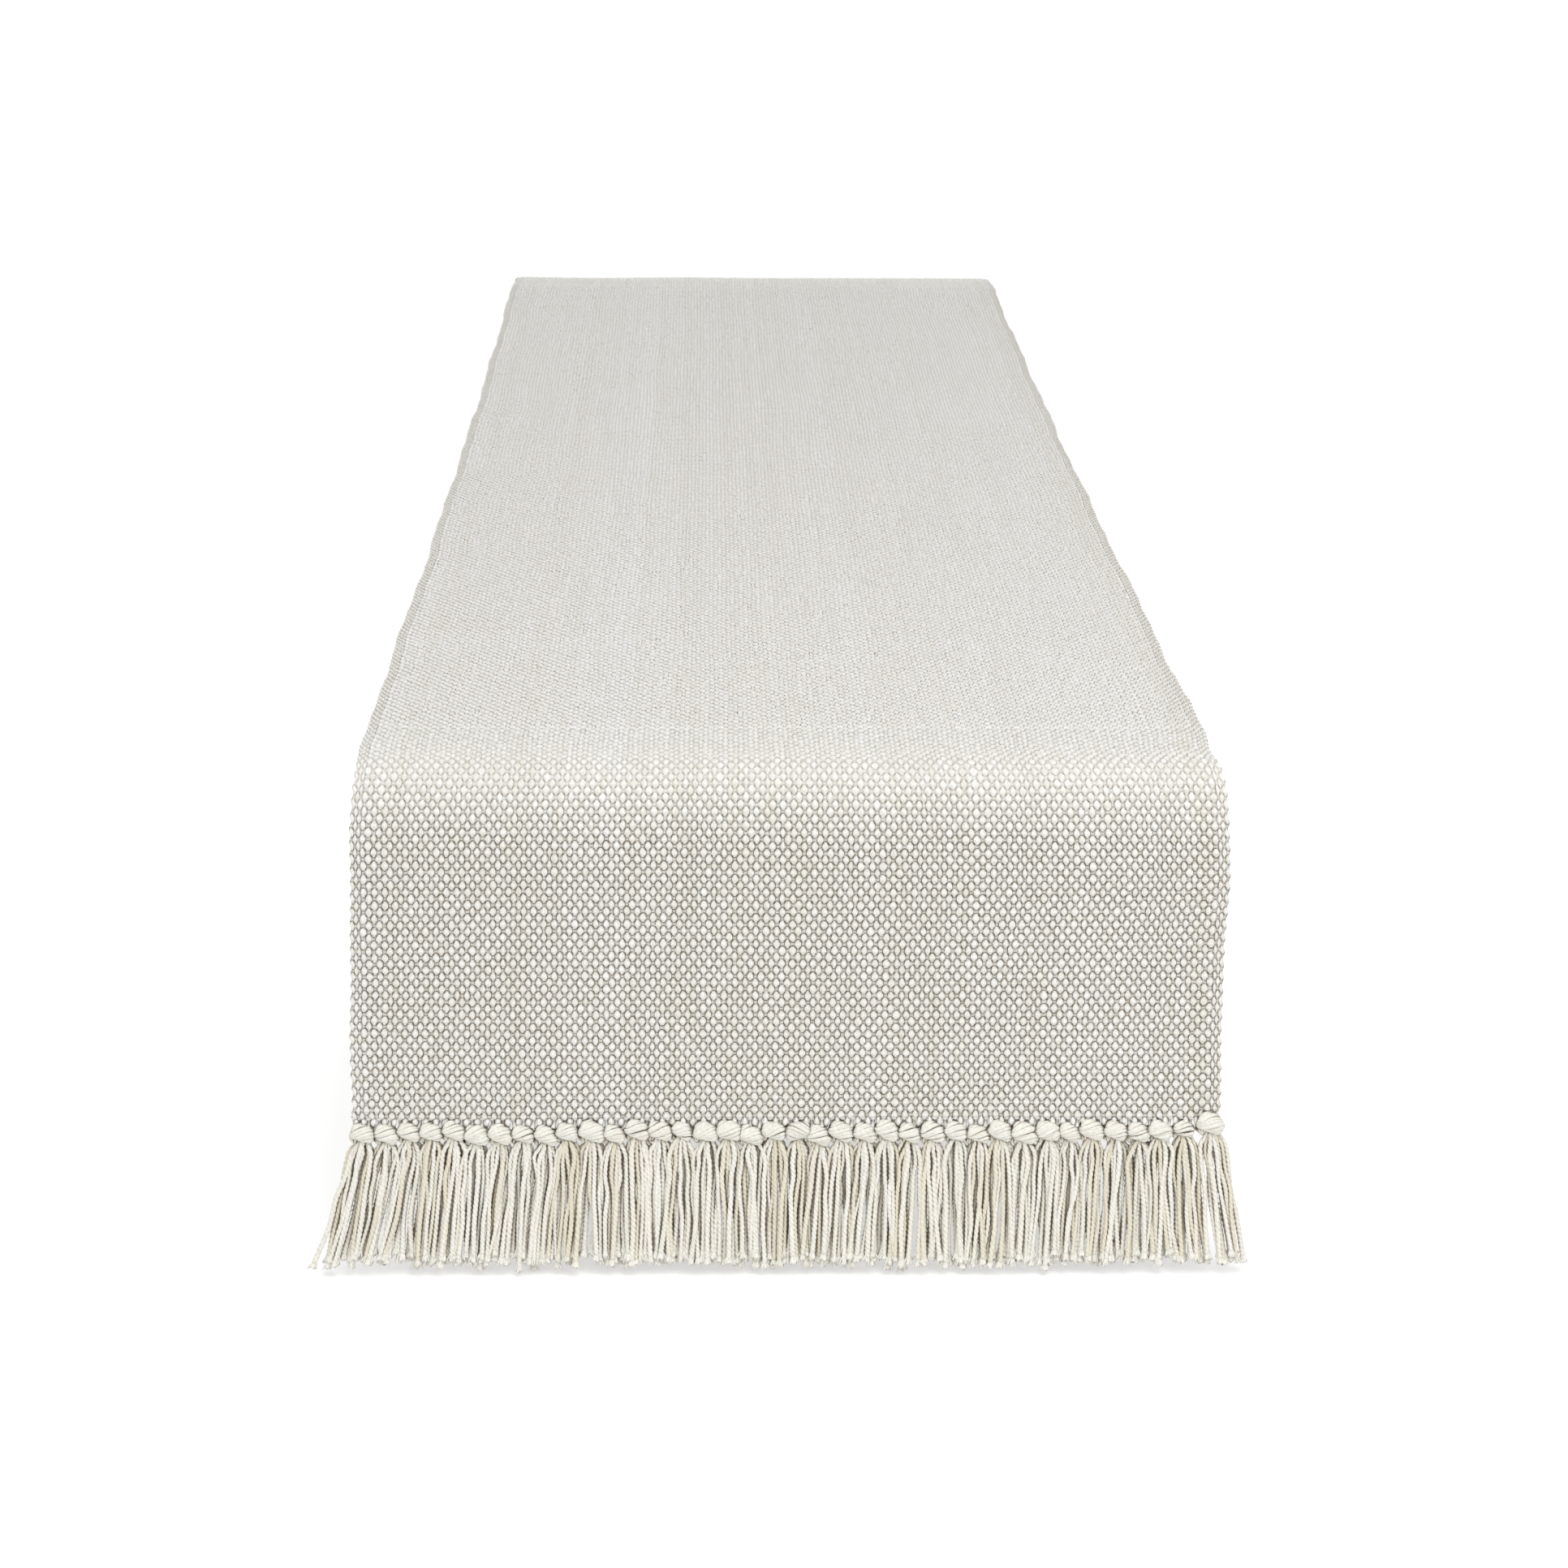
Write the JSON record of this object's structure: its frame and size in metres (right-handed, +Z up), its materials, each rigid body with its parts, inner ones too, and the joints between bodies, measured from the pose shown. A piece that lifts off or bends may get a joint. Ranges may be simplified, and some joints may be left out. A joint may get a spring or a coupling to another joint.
{
  "type": "table runner",
  "caption": "Long narrow hand-loomed ivory cotton cloth with a knotted tassel fringe at both ends, shown draped over a table with hanging ends that lift.",
  "frame": {"origin": "centre of the flat underside of the cloth, where it rests on the table top", "axes": "+Z up out of the table top, Y along the cloth with the front hanging end at -Y, +X across the cloth to the right as seen from the front"},
  "size_m": [0.4044, 1.3846, 0.2319],
  "materials": {
    "cotton_weave": "matt, coarse plain weave of thick paired cotton yarns, ivory with faint ecru stripes along the warp",
    "cotton_selvedge": "matt, narrow single yarns with small weft loops along the edge",
    "cotton_warp_ends": "matt, bare twisted yarns gathered towards the knots",
    "cotton_knots": "matt, wrapped twisted yarns",
    "cotton_strands": "matt, soft two-ply twisted yarns with frayed ends, some ivory and some ecru"
  },
  "bodies": {
    "runner_top": {"top_panel": "cotton_weave", "top_selvedge_left": "cotton_selvedge", "top_selvedge_right": "cotton_selvedge", "front_bend_upper": "cotton_weave", "back_bend_upper": "cotton_weave"},
    "front_drop": {"front_bend_lower": "cotton_weave", "front_drop_panel": "cotton_weave", "front_drop_selvedge_left": "cotton_selvedge", "front_drop_selvedge_right": "cotton_selvedge", "front_warp_ends": "cotton_warp_ends", "front_knots": "cotton_knots"},
    "front_fringe_1": {"front_tassels_01_02": "cotton_strands", "front_tassels_03_04": "cotton_strands", "front_tassels_05_06": "cotton_strands", "front_tassels_07_08": "cotton_strands"},
    "front_fringe_2": {"front_tassels_09_10": "cotton_strands", "front_tassels_11_12": "cotton_strands", "front_tassels_13_14": "cotton_strands", "front_tassels_15_16": "cotton_strands"},
    "front_fringe_3": {"front_tassels_17_18": "cotton_strands", "front_tassels_19_20": "cotton_strands", "front_tassels_21_22": "cotton_strands"},
    "front_fringe_4": {"front_tassels_23_24": "cotton_strands", "front_tassels_25_26": "cotton_strands", "front_tassels_27_28": "cotton_strands", "front_tassels_29_30": "cotton_strands"},
    "front_fringe_5": {"front_tassels_31_32": "cotton_strands", "front_tassels_33_34": "cotton_strands", "front_tassels_35_36": "cotton_strands", "front_tassels_37_38": "cotton_strands"},
    "back_drop": {"back_bend_lower": "cotton_weave", "back_drop_panel": "cotton_weave", "back_drop_selvedge_left": "cotton_selvedge", "back_drop_selvedge_right": "cotton_selvedge", "back_warp_ends": "cotton_warp_ends", "back_knots": "cotton_knots"},
    "back_fringe_1": {"back_tassels_01_02": "cotton_strands", "back_tassels_03_04": "cotton_strands", "back_tassels_05_06": "cotton_strands", "back_tassels_07_08": "cotton_strands"},
    "back_fringe_2": {"back_tassels_09_10": "cotton_strands", "back_tassels_11_12": "cotton_strands", "back_tassels_13_14": "cotton_strands", "back_tassels_15_16": "cotton_strands"},
    "back_fringe_3": {"back_tassels_17_18": "cotton_strands", "back_tassels_19_20": "cotton_strands", "back_tassels_21_22": "cotton_strands"},
    "back_fringe_4": {"back_tassels_23_24": "cotton_strands", "back_tassels_25_26": "cotton_strands", "back_tassels_27_28": "cotton_strands", "back_tassels_29_30": "cotton_strands"},
    "back_fringe_5": {"back_tassels_31_32": "cotton_strands", "back_tassels_33_34": "cotton_strands", "back_tassels_35_36": "cotton_strands", "back_tassels_37_38": "cotton_strands"}
  },
  "joints": [
    {"name": "front_drop_lift", "type": "hinge", "parent": "runner_top", "child": "front_drop", "pos_m": [0, -0.68632, 0.00007], "axis": [-1, 0, 0], "range_deg": [0, 90]},
    {"name": "front_fringe_1_swing", "type": "hinge", "parent": "front_drop", "child": "front_fringe_1", "pos_m": [0, -0.68775, -0.169], "axis": [-1, 0, 0], "range_deg": [-75, 75]},
    {"name": "front_fringe_2_swing", "type": "hinge", "parent": "front_drop", "child": "front_fringe_2", "pos_m": [0, -0.68775, -0.169], "axis": [-1, 0, 0], "range_deg": [-75, 75]},
    {"name": "front_fringe_3_swing", "type": "hinge", "parent": "front_drop", "child": "front_fringe_3", "pos_m": [0, -0.68775, -0.169], "axis": [-1, 0, 0], "range_deg": [-75, 75]},
    {"name": "front_fringe_4_swing", "type": "hinge", "parent": "front_drop", "child": "front_fringe_4", "pos_m": [0, -0.68775, -0.169], "axis": [-1, 0, 0], "range_deg": [-75, 75]},
    {"name": "front_fringe_5_swing", "type": "hinge", "parent": "front_drop", "child": "front_fringe_5", "pos_m": [0, -0.68775, -0.169], "axis": [-1, 0, 0], "range_deg": [-75, 75]},
    {"name": "back_drop_lift", "type": "hinge", "parent": "runner_top", "child": "back_drop", "pos_m": [0, 0.68632, 0.00007], "axis": [1, 0, 0], "range_deg": [0, 90]},
    {"name": "back_fringe_1_swing", "type": "hinge", "parent": "back_drop", "child": "back_fringe_1", "pos_m": [0, 0.68775, -0.169], "axis": [1, 0, 0], "range_deg": [-75, 75]},
    {"name": "back_fringe_2_swing", "type": "hinge", "parent": "back_drop", "child": "back_fringe_2", "pos_m": [0, 0.68775, -0.169], "axis": [1, 0, 0], "range_deg": [-75, 75]},
    {"name": "back_fringe_3_swing", "type": "hinge", "parent": "back_drop", "child": "back_fringe_3", "pos_m": [0, 0.68775, -0.169], "axis": [1, 0, 0], "range_deg": [-75, 75]},
    {"name": "back_fringe_4_swing", "type": "hinge", "parent": "back_drop", "child": "back_fringe_4", "pos_m": [0, 0.68775, -0.169], "axis": [1, 0, 0], "range_deg": [-75, 75]},
    {"name": "back_fringe_5_swing", "type": "hinge", "parent": "back_drop", "child": "back_fringe_5", "pos_m": [0, 0.68775, -0.169], "axis": [1, 0, 0], "range_deg": [-75, 75]}
  ]
}
